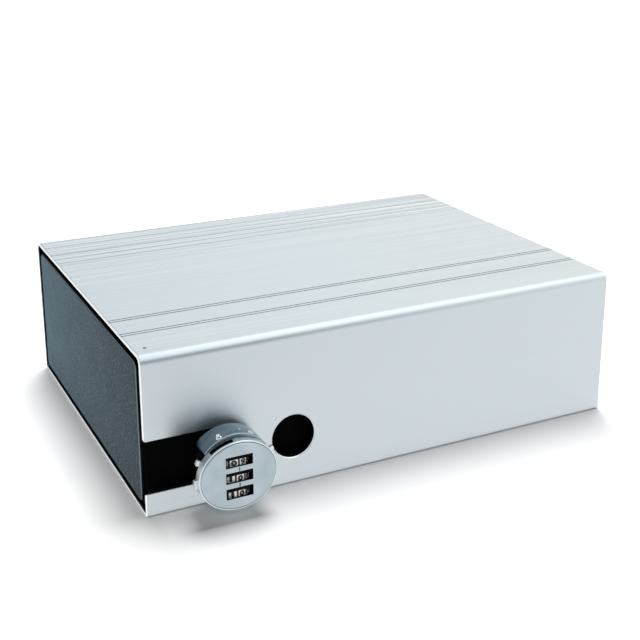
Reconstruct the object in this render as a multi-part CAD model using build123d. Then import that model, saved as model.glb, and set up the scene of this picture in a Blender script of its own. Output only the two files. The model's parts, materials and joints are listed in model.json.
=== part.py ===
from build123d import *
import math
import os

# Portable combination safe: an aluminium sleeve with a sliding drawer and a knob lock.
# Millimetres. X runs along the sleeve, Y from the front to the back, Z up.
# The origin is at the middle of the sleeve's underside.

# Sleeve
LENGTH = 251.0
WIDTH = 187.0
HEIGHT = 76.0
WALL = 3.0
EDGE_RADIUS = 4.0
FOOT_RADIUS = 0.8
INNER_RADIUS = 1.0
MOUTH_WALL = 1.2
MOUTH_DEPTH = 2.4
END_EDGE = 0.35
GROOVE_WIDTH = 0.7
GROOVE_DEPTH = 0.45
FINE_WIDTH = 0.45
FINE_DEPTH = 0.25
PAIR_GAP = 2.4
PAIR_FROM_FRONT = (28.3, 47.0)
FINE_FROM_FRONT = (142.0, 149.5, 157.0, 164.5, 172.0)

# Slot for the lock's stem, and the round port, in the front wall
NOTCH_BOTTOM = 11.0
NOTCH_TOP = 36.6
NOTCH_END = 50.0
NOTCH_SMALL_RADIUS = 2.5
NOTCH_LARGE_RADIUS = 11.0
NOTCH_MOUTH_RADIUS = 1.2
PORT_DIAMETER = 21.3
PORT_FROM_LEFT = 71.7
PORT_HEIGHT = 23.6
PORT_CHAMFER = 0.5

# End cap and its countersunk screws
CAP_SHEET = 1.5
CAP_RECESS = 0.5
CAP_FLANGE = 11.0
CAP_FIT = 0.05
CAP_SCREW_RADIUS = 1.5
CAP_SCREW_HEAD = 2.8
CAP_SCREW_LENGTH = 6.5
CAP_SCREW_FROM_RIGHT = 6.5
CAP_SCREW_INSET = 40.0
CAP_SCREW_HEIGHT = 22.0
DRIVE_RADIUS = 0.9
DRIVE_DEPTH = 0.5

# Rivets
RIVET_RADIUS = 1.5
RIVET_INSET = 3.5
RIVET_SINK = 0.1
RIVET_HEAD_RADIUS = 2.6
RIVET_HEAD_HEIGHT = 0.9

# Pieces fixed inside the sleeve
KEEPER_LENGTH = 8.0
KEEPER_FROM_FRONT = (14.0, 28.0)
KEEPER_TOP = 7.4
KEEPER_GAP = 0.5
GLIDE_HEIGHT = 4.5
GLIDE_WIDTH = 12.0
GLIDE_EDGE = 0.6
GLIDE_FROM_LEFT = 14.0
GLIDE_FROM_RIGHT = 26.0
GLIDE_INSET = 36.0
STOP_PIN_FROM_LEFT = 5.6
STOP_PIN_FROM_FRONT = 9.8
STOP_PIN_RADIUS = 0.9
STOP_PIN_BOTTOM = 67.6
STOP_PIN_SINK = 0.35
BUMPER_RADIUS = 5.0
BUMPER_LENGTH = 9.4
BUMPER_FROM_MIDDLE = 45.0
BUMPER_HEIGHT = 38.0

# Drawer's end panel
PANEL_SHEET = 1.5
PANEL_RECESS = 0.4
PANEL_RADIUS = 3.0
PANEL_EDGE = 0.5
PANEL_FRONT_GAP = 5.4
PANEL_BACK_GAP = 1.2
PANEL_BOTTOM = 3.2
PANEL_TOP = 70.4
STUD_RADIUS = 1.5
STUD_LENGTH = 6.5
STUD_FROM_FRONT = 40.0
STUD_FROM_BACK = 18.0
STUD_FROM_BOTTOM = 10.8
STUD_FROM_TOP = 9.0
STUD_NUT_FLATS = 5.5
STUD_NUT_HEIGHT = 2.4

# Drawer's tray, its stop lug and its liner
TRAVEL = 170.0
SHEET = 1.2
TRAY_CORNER = 2.0
TRAY_FRONT_GAP = 5.0
TRAY_BACK_GAP = 6.0
TRAY_RIGHT_GAP = 12.0
TRAY_BOTTOM = 7.8
TRAY_TOP = 66.0
CAM_SLOT = (-4.5, 14.0)
CAM_SLOT_FROM_FRONT = (17.4, 23.2)
STOP_LUG_LENGTH = 14.0
STOP_LUG_THICKNESS = 2.0
STOP_LUG_BOTTOM = 56.0
STOP_LUG_TOP = 70.8
STOP_RIVET_HEIGHT = 60.5
STOP_PLAY = 0.3
FOAM = 4.0
FOAM_GAP = 0.5
FOAM_LIFT = 0.05
FOAM_FROM_WALL = 3.2
FOAM_CUTAWAY = (64.0, 49.5)

# Lock, in its own frame: x and z from its axis, y from the sleeve's front face
LOCK_FROM_LEFT = 35.9
LOCK_HEIGHT = 22.1
FIT = 0.05

# Knob
KNOB_HALF_WIDTH = 18.4
KNOB_HALF_HEIGHT = 16.3
FACE_HALF_WIDTH = 17.6
FACE_HALF_HEIGHT = 15.4
FACE_FRONT = -21.0
FACE_THICKNESS = 0.6
FACE_SPIGOT = 0.15
FACE_EDGE = 0.35
INDEX_WIDTH = 0.45
INDEX_HEIGHT = 1.8
INDEX_DEPTH = 0.3
RING_REAR = -16.2
RING_EDGE = 0.35
RING_SLOTS = ((96.0, 135.0), (22.0, 45.0), (205.0, 250.0), (285.0, 335.0))
RING_SLOT_DEPTH = 1.4
RING_SLOT_MARGIN = 0.75
RIB_ANGLES = (91.0, 86.5, 82.0)
RIB_WIDTH = 0.6
RIB_HEIGHT = 0.25
NUBS = ((26.0, 1.8, 1.6), (154.0, 2.4, 2.4), (184.0, 4.2, 1.2))
NUB_DEPTH = 1.6
NUB_RADIUS = 0.35

# Collar, stem and tail of the lock's housing
COLLAR_RADIUS = 17.8
COLLAR_BORE = 14.25
COLLAR_FRONT = -15.9
COLLAR_REAR = -4.5
COLLAR_RIM = 0.4
COLLAR_OPENING = (141.0, 203.0)
WEB_THICKNESS = 0.8
STEM_DIAMETER = 20.0
STEM_FLATS = 16.8
TAIL_DIAMETER = 16.0
TAIL_FLATS = 13.6
TAIL_END = 18.0
SHUT_MARK = ((111.0, 1.3, -13.9), (110.0, 0.8, -11.9))
DOT_MARK = ((76.0, 0.5, -11.4),)
OPEN_MARK = ((60.0, 1.3, -13.0), (56.0, 0.8, -11.2))
MARK_DEPTH = 0.3
MARK_LINE = 0.6

# What clamps the lock to the tray
BACKING_HALF_WIDTH = 20.0
BACKING_HEIGHTS = (-9.5, 18.0)
BACKING_THICKNESS = 1.5
BACKING_CORNER = 2.0
BACKING_RIVETS = ((-16.0, 12.0), (16.0, 12.0))
WASHER_RADIUS = 10.3
WASHER_THICKNESS = 1.0
WASHER_TEETH = 12
WASHER_TOOTH_GAP = 1.0
WASHER_TOOTH_ROOT = 9.4
NUT_FLATS = 21.0
NUT_THICKNESS = 4.0

# Cover over the lock's inner end
COVER_SHEET = 1.0
COVER_X = (-30.0, 24.0)
COVER_DEPTH = 30.5
COVER_TOP = 42.0
COVER_FLANGE = 8.0
COVER_SCREW_INSET = 8.0
COVER_SCREW_RADIUS = 1.2
COVER_SCREW_HEAD = 2.2
COVER_SCREW_HEAD_HEIGHT = 1.3
COVER_SCREW_SLOT = (0.6, 0.5)

# Wheel carrier, axle, detents and fence
CARRIER_RADIUS = 13.9
CARRIER_REAR = -5.5
CARRIER_GAP = 0.05
CARRIER_POCKET_FLOOR = 0.3
POCKET_SIDE_GAP = 0.3
POCKET_END_GAP = 0.15
CENTRE_DRILL_RADIUS = 2.0
CENTRE_DRILL_DEPTH = 0.15
AXLE_RADIUS = 1.25
AXLE_FIT = 0.02
AXLE_TOP = 12.9
AXLE_BOTTOM = -12.6
DETENT_THICKNESS = 0.15
DETENT_REACH = (-2.5, 5.5)
DETENT_WIDTH = 2.4
DETENT_GAP = 0.07
FENCE_X = (-12.3, -9.7)
FENCE_Y = (-15.0, -10.0)
FENCE_HALF_HEIGHT = 5.5
FENCE_CORNER = 0.6
FENCE_GAP = 0.3
FENCE_TRACK_RADIUS = 15.3
FENCE_TRACK_GAP = 0.4

# Spindle and cam
SPINDLE_DIAMETER = 6.0
SPINDLE_FRONT_GAP = 0.03
SPINDLE_END = 22.0
SPINDLE_SQUARE = 4.6
CLIP_Y = (18.25, 19.05)
CLIP_SIDE_GAP = 0.05
CLIP_GROOVE_RADIUS = 2.4
CLIP_RADIUS = 5.4
CLIP_BORE = 2.45
CLIP_MOUTH = 3.2
CAM_Y = (20.0, 22.0)
CAM_LENGTH = 18.2
CAM_WIDTH = 7.0
CAM_HUB_RADIUS = 6.5
CAM_CORNER = 1.0
CAM_SCREW_RADIUS = 1.25
CAM_SCREW_LENGTH = 5.5
CAM_SCREW_HOLE_DEPTH = 6.0
CAM_WASHER = (4.2, 0.8)
CAM_SCREW_HEAD = (2.8, 2.0)
CAM_SCREW_CROSS = (3.2, 0.6, 1.0)

# Number wheels and their windows
WHEEL_RADIUS = 7.2
WHEEL_SIDES = 10
WHEEL_HEIGHT = 3.8
WHEEL_PITCH = 7.6
WHEEL_DROP = 1.75
WHEEL_SET_BACK = 0.1
WINDOW_WIDTH = 12.0
WINDOW_HEIGHT = 4.5
WINDOW_PITCH = 7.5
WINDOW_OFFSET = (0.2, -0.4)
WINDOW_EDGE = 0.4
BAR_WIDTH = 0.9
BAR_DEPTH = 0.4
REST_TURN = {"top": -16.2, "middle": 7.2, "bottom": 12.6}

# How far a cutter reaches past what it cuts, and how deep a joined piece is sunk
OVER = 1.0
SUNK = 0.2

# Places worked out from the sizes above
LEFT = -LENGTH / 2
RIGHT = LENGTH / 2
FRONT = -WIDTH / 2
BACK = WIDTH / 2
IN_FRONT = FRONT + WALL
IN_BACK = BACK - WALL
IN_TOP = HEIGHT - WALL
PORT_X = LEFT + PORT_FROM_LEFT
STOP_PIN_X = LEFT + STOP_PIN_FROM_LEFT
STOP_PIN_Y = FRONT + STOP_PIN_FROM_FRONT
PANEL_FRONT = IN_FRONT + PANEL_FRONT_GAP
PANEL_BACK = IN_BACK - PANEL_BACK_GAP
TRAY_FRONT = IN_FRONT + TRAY_FRONT_GAP
TRAY_BACK = IN_BACK - TRAY_BACK_GAP
TRAY_LEFT = LEFT + PANEL_RECESS + PANEL_SHEET
TRAY_RIGHT = RIGHT - TRAY_RIGHT_GAP
TRAY_FLOOR = TRAY_BOTTOM + SHEET
TRAY_INSIDE = TRAY_FRONT + SHEET
STOP_LUG_LEFT = STOP_PIN_X + STOP_PIN_RADIUS + TRAVEL + STOP_PLAY
LOCK_X = LEFT + LOCK_FROM_LEFT
TRAY_WALL_Y = TRAY_FRONT - FRONT
BACKING_Y = TRAY_WALL_Y + SHEET
WASHER_Y = BACKING_Y + BACKING_THICKNESS
NUT_Y = WASHER_Y + WASHER_THICKNESS
KEEPER_RIGHT = LOCK_X - CAM_WIDTH / 2 - KEEPER_GAP
KEEPER_LEFT = KEEPER_RIGHT - KEEPER_LENGTH
COVER_LEFT = LOCK_X + COVER_X[0]
COVER_RIGHT = LOCK_X + COVER_X[1]
COVER_BACK = TRAY_INSIDE + COVER_DEPTH
COVER_SCREW_Y = COVER_BACK + COVER_FLANGE / 2
FACE_REAR = FACE_FRONT + FACE_THICKNESS
RING_FRONT = FACE_REAR - FACE_SPIGOT
WHEEL_Y = FACE_REAR + WHEEL_SET_BACK + WHEEL_RADIUS
WHEEL_Z = {"top": WHEEL_PITCH - WHEEL_DROP, "middle": -WHEEL_DROP, "bottom": -WHEEL_PITCH - WHEEL_DROP}
WINDOW_Z = [WINDOW_OFFSET[1] + WINDOW_PITCH * row for row in (1, 0, -1)]


def block(x0, x1, y0, y1, z0, z1):
    """Box between two corners."""
    size = (x1 - x0, y1 - y0, z1 - z0)
    middle = ((x0 + x1) / 2, (y0 + y1) / 2, (z0 + z1) / 2)
    return Pos(*middle) * Box(*size)


def rod_x(radius, x0, x1, y, z):
    """Cylinder along X."""
    return Pos((x0 + x1) / 2, y, z) * Rot(0, 90, 0) * Cylinder(radius, x1 - x0)


def rod_y(radius, y0, y1, x=0.0, z=0.0):
    """Cylinder along Y."""
    return Pos(x, (y0 + y1) / 2, z) * Rot(90, 0, 0) * Cylinder(radius, y1 - y0)


def rod_z(radius, z0, z1, x=0.0, y=0.0):
    """Cylinder along Z."""
    return Pos(x, y, (z0 + z1) / 2) * Cylinder(radius, z1 - z0)


def prism_y(outline, y0, y1):
    """An outline drawn in X and Z, drawn out along Y."""
    return extrude(Plane.XZ.offset(-y1) * outline, y1 - y0)


def sector_y(radius, start, end, y0, y1):
    """Wedge of a disc along Y, between two angles from +X towards +Z."""
    steps = max(2, math.ceil((end - start) / 30) + 1)
    angles = [math.radians(start + (end - start) * k / (steps - 1)) for k in range(steps)]
    points = [(0.0, 0.0)] + [(radius * math.cos(a), radius * math.sin(a)) for a in angles]
    return prism_y(make_face(Polyline(*points, close=True)), y0, y1)


def at_lock(shape):
    """Move a shape from the lock's frame to the safe's."""
    return Pos(LOCK_X, FRONT, LOCK_HEIGHT) * shape


def screw_body(length, radius, head):
    """Countersunk screw along Z, with its head's face at z = 0, looking up."""
    depth = head - radius
    return rod_z(radius, -length, 0) + Pos(0, 0, -depth / 2) * Cone(radius, head, depth)


def headed_rivet(x, z, y0, y1):
    """Rivet along Y with a low head beyond y1."""
    return rod_y(RIVET_RADIUS, y0, y1, x, z) + rod_y(RIVET_HEAD_RADIUS, y1, y1 + RIVET_HEAD_HEIGHT, x, z)


# Sleeve

def sleeve_profile(inset, top_radius, bottom_radius):
    """Cross-section in Y and Z, rounded more at the top than at the bottom."""
    face = Pos(0, HEIGHT / 2) * Rectangle(WIDTH - 2 * inset, HEIGHT - 2 * inset)
    high = face.vertices().sort_by(Axis.Y)[2:]
    face = fillet(high, top_radius)
    low = face.vertices().sort_by(Axis.Y)[:2]
    return fillet(low, bottom_radius)


def notch_cut():
    """Slot through the front wall, open at the left end and closed behind the lock."""
    low = NOTCH_BOTTOM
    high = NOTCH_TOP
    end = LEFT + NOTCH_END
    mouth = NOTCH_MOUTH_RADIUS
    small = NOTCH_SMALL_RADIUS
    large = NOTCH_LARGE_RADIUS
    start = LEFT - OVER
    with BuildSketch(Plane.XZ) as sketch:
        with BuildLine():
            Line((start, low - mouth), (LEFT, low - mouth))
            RadiusArc((LEFT, low - mouth), (LEFT + mouth, low), mouth)
            Line((LEFT + mouth, low), (end - small, low))
            RadiusArc((end - small, low), (end, low + small), -small)
            Line((end, low + small), (end, high - large))
            RadiusArc((end, high - large), (end - large, high), -large)
            Line((end - large, high), (LEFT + mouth, high))
            RadiusArc((LEFT + mouth, high), (LEFT, high + mouth), mouth)
            Polyline((LEFT, high + mouth), (start, high + mouth), (start, low - mouth))
        make_face()
    return Pos(0, IN_FRONT + OVER, 0) * extrude(sketch.sketch, WALL + 2 * OVER)


def port_cut():
    """Round hole through the front wall, with a small chamfer outside."""
    radius = PORT_DIAMETER / 2
    hole = rod_y(radius, FRONT - OVER, IN_FRONT + OVER, PORT_X, PORT_HEIGHT)
    flare = Cone(radius, radius + PORT_CHAMFER, PORT_CHAMFER)
    return [hole, Pos(PORT_X, FRONT + PORT_CHAMFER / 2, PORT_HEIGHT) * Rot(90, 0, 0) * flare]


def groove_cuts():
    """Lengthwise grooves in the top: two pairs near the front, a fine group at the back."""
    grooves = [(place, FINE_WIDTH / 2, FINE_DEPTH) for place in FINE_FROM_FRONT]
    for place in PAIR_FROM_FRONT:
        for side in (-PAIR_GAP / 2, PAIR_GAP / 2):
            grooves.append((place + side, GROOVE_WIDTH / 2, GROOVE_DEPTH))
    cuts = []
    for place, half, depth in grooves:
        y = FRONT + place
        cuts.append(block(LEFT - OVER, RIGHT + OVER, y - half, y + half, HEIGHT - depth, HEIGHT + OVER))
    return cuts


def keeper_rivet_places():
    """The keeper stands just left of the lowered cam."""
    middle = (KEEPER_LEFT + KEEPER_RIGHT) / 2
    front, back = KEEPER_FROM_FRONT
    return [(middle, FRONT + front + RIVET_INSET), (middle, FRONT + back - RIVET_INSET)]


def cap_screw_moves():
    """Places of the end cap's screws: two through the floor and two through the back."""
    x = RIGHT - CAP_SCREW_FROM_RIGHT
    floor = [Pos(x, y, 0) * Rot(180, 0, 0) for y in (FRONT + CAP_SCREW_INSET, BACK - CAP_SCREW_INSET)]
    heights = (CAP_SCREW_HEIGHT, HEIGHT - CAP_SCREW_HEIGHT)
    back = [Pos(x, BACK, z) * Rot(-90, 0, 0) for z in heights]
    return floor + back


def make_outer_sleeve():
    """Extruded tube, open at both ends and stepped thinner round its left mouth."""
    outer = extrude(Plane.YZ.offset(LEFT) * sleeve_profile(0, EDGE_RADIUS, FOOT_RADIUS), LENGTH)
    ends = outer.faces().sort_by(Axis.X)
    outer = chamfer(ends[0].edges() + ends[-1].edges(), END_EDGE)
    bore = sleeve_profile(WALL, INNER_RADIUS, INNER_RADIUS)
    inner = extrude(Plane.YZ.offset(LEFT - OVER) * bore, LENGTH + 2 * OVER)
    step = sleeve_profile(MOUTH_WALL, EDGE_RADIUS - MOUTH_WALL, INNER_RADIUS)
    mouth = extrude(Plane.YZ.offset(LEFT - OVER) * step, MOUTH_DEPTH + OVER)
    holes = [rod_z(STOP_PIN_RADIUS, IN_TOP - OVER, HEIGHT + OVER, STOP_PIN_X, STOP_PIN_Y)]
    holes += [rod_z(RIVET_RADIUS, -OVER, WALL + OVER, x, y) for x, y in keeper_rivet_places()]
    screw_hole = screw_body(WALL + OVER, CAP_SCREW_RADIUS, CAP_SCREW_HEAD)
    holes += [move * screw_hole for move in cap_screw_moves()]
    return outer - inner - mouth - notch_cut() - port_cut() - groove_cuts() - holes


def make_end_cap():
    """Folded pan that closes the right end: a plate with a flange all round."""
    face = RIGHT - CAP_RECESS
    outer = sleeve_profile(WALL + CAP_FIT, INNER_RADIUS, INNER_RADIUS)
    inner = sleeve_profile(WALL + CAP_FIT + CAP_SHEET, INNER_RADIUS, INNER_RADIUS)
    pan = extrude(Plane.YZ.offset(face - CAP_FLANGE) * outer, CAP_FLANGE)
    hollow = extrude(Plane.YZ.offset(face - CAP_FLANGE - OVER) * inner, CAP_FLANGE + OVER - CAP_SHEET)
    holes = [move * rod_z(CAP_SCREW_RADIUS, -CAP_FLANGE, 0) for move in cap_screw_moves()]
    return pan - hollow - holes


def make_end_cap_screws():
    """Countersunk screws with a six-sided socket."""
    socket = Pos(0, 0, -DRIVE_DEPTH) * extrude(RegularPolygon(DRIVE_RADIUS, 6), DRIVE_DEPTH + OVER)
    screw = screw_body(CAP_SCREW_LENGTH, CAP_SCREW_RADIUS, CAP_SCREW_HEAD) - socket
    return Compound(children=[move * screw for move in cap_screw_moves()])


def make_keeper():
    """Bar on the sleeve's floor, which the lowered cam bears on."""
    front, back = KEEPER_FROM_FRONT
    bar = block(KEEPER_LEFT, KEEPER_RIGHT, FRONT + front, FRONT + back, WALL, KEEPER_TOP)
    return bar - [rod_z(RIVET_RADIUS, 0, HEIGHT, x, y) for x, y in keeper_rivet_places()]


def make_keeper_rivets():
    """Flush rivets through the floor and the keeper."""
    places = keeper_rivet_places()
    rivets = [rod_z(RIVET_RADIUS, RIVET_SINK, KEEPER_TOP - RIVET_SINK, x, y) for x, y in places]
    return Compound(children=rivets)


def make_glide(y):
    """Low-friction strip along the floor, which the drawer slides on."""
    half = GLIDE_WIDTH / 2
    left = LEFT + GLIDE_FROM_LEFT
    right = RIGHT - GLIDE_FROM_RIGHT
    bar = block(left, right, y - half, y + half, WALL, WALL + GLIDE_HEIGHT)
    return chamfer(bar.faces().sort_by(Axis.Z)[-1].edges(), GLIDE_EDGE)


def make_stop_pin():
    """Pin through the top wall, which stops the drawer's lug."""
    return rod_z(STOP_PIN_RADIUS, STOP_PIN_BOTTOM, HEIGHT - STOP_PIN_SINK, STOP_PIN_X, STOP_PIN_Y)


def make_drawer_bumpers():
    """Rubber buttons inside the end cap, which the closing drawer meets."""
    face = RIGHT - CAP_RECESS - CAP_SHEET
    ends = (face - BUMPER_LENGTH, face)
    places = (-BUMPER_FROM_MIDDLE, BUMPER_FROM_MIDDLE)
    return Compound(children=[rod_x(BUMPER_RADIUS, *ends, y, BUMPER_HEIGHT) for y in places])


# Drawer

def panel_profile():
    """Outline of the end panel in Y and Z."""
    width = PANEL_BACK - PANEL_FRONT
    height = PANEL_TOP - PANEL_BOTTOM
    middle = ((PANEL_FRONT + PANEL_BACK) / 2, (PANEL_TOP + PANEL_BOTTOM) / 2)
    return Pos(*middle) * RectangleRounded(width, height, PANEL_RADIUS)


def stud_places():
    """Y and Z of the four studs that hold the end panel to the tray."""
    heights = (TRAY_BOTTOM + STUD_FROM_BOTTOM, TRAY_TOP - STUD_FROM_TOP)
    return [(y, z) for y in (TRAY_FRONT + STUD_FROM_FRONT, TRAY_BACK - STUD_FROM_BACK) for z in heights]


def make_drawer_panel():
    """Dark plate at the drawer's left end, with weld studs on its inner face."""
    plate = extrude(Plane.YZ.offset(LEFT + PANEL_RECESS) * panel_profile(), PANEL_SHEET)
    plate = chamfer(plate.faces().sort_by(Axis.X)[0].edges(), PANEL_EDGE)
    for y, z in stud_places():
        plate += rod_x(STUD_RADIUS, TRAY_LEFT - SUNK, TRAY_LEFT + STUD_LENGTH, y, z)
    return plate


def tail_profile(radius, flats):
    """Round with two flats, above and below."""
    return Circle(radius) & Rectangle(3 * radius, flats)


def tail_cut(y0, y1):
    """Clearance hole for the lock's tail through a sheet between y0 and y1."""
    outline = tail_profile(TAIL_DIAMETER / 2 + FIT, TAIL_FLATS + 2 * FIT)
    return prism_y(outline, y0 - OVER, y1 + OVER)


def stop_rivet_places():
    return [STOP_LUG_LEFT + RIVET_INSET, STOP_LUG_LEFT + STOP_LUG_LENGTH - RIVET_INSET]


def cover_screw_places():
    return [COVER_LEFT + COVER_SCREW_INSET, COVER_RIGHT - COVER_SCREW_INSET]


def cam_slot_cut():
    """Slot in the tray's floor for the cam."""
    left, right = [LOCK_X + x for x in CAM_SLOT]
    near, far = [FRONT + y for y in CAM_SLOT_FROM_FRONT]
    return block(left, right, near, far, TRAY_BOTTOM - OVER, TRAY_FLOOR + OVER)


def make_drawer_tray():
    """Folded steel tray, open at the top."""
    outer = block(TRAY_LEFT, TRAY_RIGHT, TRAY_FRONT, TRAY_BACK, TRAY_BOTTOM, TRAY_TOP)
    outer = fillet(outer.edges().filter_by(Axis.Z), TRAY_CORNER)
    inside = (TRAY_LEFT + SHEET, TRAY_RIGHT - SHEET, TRAY_INSIDE, TRAY_BACK - SHEET)
    inner = block(*inside, TRAY_FLOOR, TRAY_TOP + OVER)
    inner = fillet(inner.edges().filter_by(Axis.Z), TRAY_CORNER - SHEET)
    wall = (TRAY_WALL_Y - OVER, TRAY_WALL_Y + SHEET + OVER)
    cuts = [at_lock(tail_cut(TRAY_WALL_Y, TRAY_WALL_Y + SHEET)), cam_slot_cut()]
    for y, z in stud_places():
        cuts.append(rod_x(STUD_RADIUS + FIT, TRAY_LEFT - OVER, TRAY_LEFT + SHEET + OVER, y, z))
    for x, z in BACKING_RIVETS:
        cuts.append(at_lock(rod_y(RIVET_RADIUS, *wall, x, z)))
    for x in stop_rivet_places():
        cuts.append(rod_y(RIVET_RADIUS, TRAY_FRONT - OVER, TRAY_INSIDE + OVER, x, STOP_RIVET_HEIGHT))
    for x in cover_screw_places():
        cuts.append(rod_z(COVER_SCREW_RADIUS, TRAY_BOTTOM - OVER, TRAY_FLOOR + OVER, x, COVER_SCREW_Y))
    return outer - inner - cuts


def make_panel_nuts():
    """Nuts on the end panel's studs, inside the tray."""
    inside = TRAY_LEFT + SHEET
    hexagon = RegularPolygon(STUD_NUT_FLATS / 2, 6, major_radius=False)
    nuts = []
    for y, z in stud_places():
        nut = extrude(Plane.YZ.offset(inside) * Pos(y, z) * hexagon, STUD_NUT_HEIGHT)
        nuts.append(nut - rod_x(STUD_RADIUS, inside - OVER, inside + STUD_NUT_HEIGHT + OVER, y, z))
    return Compound(children=nuts)


def make_stop_lug():
    """Plate inside the tray's front wall; its top meets the stop pin at full travel."""
    right = STOP_LUG_LEFT + STOP_LUG_LENGTH
    back = TRAY_INSIDE + STOP_LUG_THICKNESS
    lug = block(STOP_LUG_LEFT, right, TRAY_INSIDE, back, STOP_LUG_BOTTOM, STOP_LUG_TOP)
    places = stop_rivet_places()
    return lug - [rod_y(RIVET_RADIUS, TRAY_INSIDE - OVER, back + OVER, x, STOP_RIVET_HEIGHT) for x in places]


def make_stop_lug_rivets():
    front = TRAY_FRONT + RIVET_SINK
    back = TRAY_INSIDE + STOP_LUG_THICKNESS
    return Compound(children=[headed_rivet(x, STOP_RIVET_HEIGHT, front, back) for x in stop_rivet_places()])


def make_foam_liner():
    """Pad on the tray's floor, cut away round the inside of the lock."""
    left = TRAY_LEFT + SHEET + FOAM_FROM_WALL
    right = TRAY_RIGHT - SHEET - FOAM_GAP
    front = TRAY_INSIDE + FOAM_GAP
    back = TRAY_BACK - SHEET - FOAM_GAP
    top = TRAY_FLOOR + FOAM
    pad = block(left, right, front, back, TRAY_FLOOR + FOAM_LIFT, top)
    clear_x, clear_y = FOAM_CUTAWAY
    return pad - block(left - OVER, LEFT + clear_x, front - OVER, FRONT + clear_y, TRAY_FLOOR, top + OVER)


# Lock parts that stay with the drawer

def mark_cuts():
    """Marks engraved round the collar: a shut padlock, a dot and an open padlock, each of rings."""
    cuts = []
    for angle, radius, y in SHUT_MARK + DOT_MARK + OPEN_MARK:
        t = math.radians(angle)
        place = Pos(COLLAR_RADIUS * math.cos(t), y, COLLAR_RADIUS * math.sin(t))
        disc = Cylinder(radius, 2 * MARK_DEPTH)
        if radius > MARK_LINE:
            disc = disc - Cylinder(radius - MARK_LINE, OVER)
        cuts.append(place * Rot(0, -angle, 0) * Rot(0, 90, 0) * disc)
    return cuts


def make_lock_housing():
    """Collar, web, flat-sided stem and tail in one casting."""
    collar = rod_y(COLLAR_RADIUS, COLLAR_FRONT, COLLAR_REAR)
    rims = [edge for edge in collar.edges() if edge.geom_type == GeomType.CIRCLE]
    collar = chamfer(rims, COLLAR_RIM)
    front = COLLAR_FRONT - OVER
    rear = COLLAR_REAR + OVER
    opening = sector_y(2 * COLLAR_RADIUS, *COLLAR_OPENING, front, rear) - rod_y(COLLAR_BORE, front, rear)
    body = collar - opening - rod_y(COLLAR_BORE, front, COLLAR_REAR - WEB_THICKNESS)
    body -= rod_y(FENCE_TRACK_RADIUS, FENCE_Y[0] - FENCE_TRACK_GAP, FENCE_Y[1] + FENCE_TRACK_GAP)
    body += prism_y(tail_profile(STEM_DIAMETER / 2, STEM_FLATS), COLLAR_REAR - SUNK, TRAY_WALL_Y)
    body += prism_y(tail_profile(TAIL_DIAMETER / 2, TAIL_FLATS), TRAY_WALL_Y - SUNK, TAIL_END)
    body -= rod_y(SPINDLE_DIAMETER / 2 + FIT, front, TAIL_END + OVER)
    return at_lock(body - mark_cuts())


def make_backing_plate():
    """Steel plate behind the tray's wall, where the lock is clamped."""
    low, high = BACKING_HEIGHTS
    plate = block(-BACKING_HALF_WIDTH, BACKING_HALF_WIDTH, BACKING_Y, WASHER_Y, low, high)
    plate = fillet(plate.edges().filter_by(Axis.Y), BACKING_CORNER)
    holes = [rod_y(RIVET_RADIUS, BACKING_Y - OVER, WASHER_Y + OVER, x, z) for x, z in BACKING_RIVETS]
    return at_lock(plate - holes - tail_cut(BACKING_Y, WASHER_Y))


def make_backing_rivets():
    front = TRAY_WALL_Y + RIVET_SINK
    return Compound(children=[at_lock(headed_rivet(x, z, front, WASHER_Y)) for x, z in BACKING_RIVETS])


def make_lock_washer():
    """Washer with teeth round its rim."""
    y0 = WASHER_Y - OVER
    y1 = NUT_Y + OVER
    ring = rod_y(WASHER_RADIUS, WASHER_Y, NUT_Y) - rod_y(TAIL_DIAMETER / 2 + FIT, y0, y1)
    half = WASHER_TOOTH_GAP / 2
    gap = block(WASHER_TOOTH_ROOT, WASHER_RADIUS + OVER, y0, y1, -half, half)
    return at_lock(ring - [Rot(0, 360 / WASHER_TEETH * k, 0) * gap for k in range(WASHER_TEETH)])


def make_lock_nut():
    hexagon = RegularPolygon(NUT_FLATS / 2, 6, major_radius=False)
    nut = prism_y(hexagon, NUT_Y, NUT_Y + NUT_THICKNESS)
    return at_lock(nut - rod_y(TAIL_DIAMETER / 2, NUT_Y - OVER, NUT_Y + NUT_THICKNESS + OVER))


def make_lock_cover():
    """Sheet cover inside the tray that keeps the contents off the cam."""
    t = COVER_SHEET
    sides = (COVER_LEFT, COVER_RIGHT)
    inner_sides = (COVER_LEFT + t, COVER_RIGHT - t)
    shell = block(*sides, TRAY_INSIDE, COVER_BACK, TRAY_FLOOR, COVER_TOP)
    shell -= block(*inner_sides, TRAY_INSIDE - OVER, COVER_BACK - t, TRAY_FLOOR - OVER, COVER_TOP - t)
    flange = block(*sides, COVER_BACK - t, COVER_BACK + COVER_FLANGE, TRAY_FLOOR, TRAY_FLOOR + t)
    ends = (TRAY_FLOOR - OVER, TRAY_FLOOR + t + OVER)
    holes = [rod_z(COVER_SCREW_RADIUS, *ends, x, COVER_SCREW_Y) for x in cover_screw_places()]
    return shell + flange - holes


def make_lock_cover_screws():
    """Slotted screws that hold the cover's flange to the tray's floor."""
    top = TRAY_FLOOR + COVER_SHEET
    head_top = top + COVER_SCREW_HEAD_HEIGHT
    width, depth = COVER_SCREW_SLOT
    half = width / 2
    reach = COVER_SCREW_HEAD + OVER
    y = COVER_SCREW_Y
    screws = []
    for x in cover_screw_places():
        screw = rod_z(COVER_SCREW_RADIUS, TRAY_BOTTOM + RIVET_SINK, top, x, y)
        screw += rod_z(COVER_SCREW_HEAD, top, head_top, x, y)
        slot = block(x - reach, x + reach, y - half, y + half, head_top - depth, head_top + OVER)
        screws.append(screw - slot)
    return Compound(children=screws)


# Lock parts that turn with the knob

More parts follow.
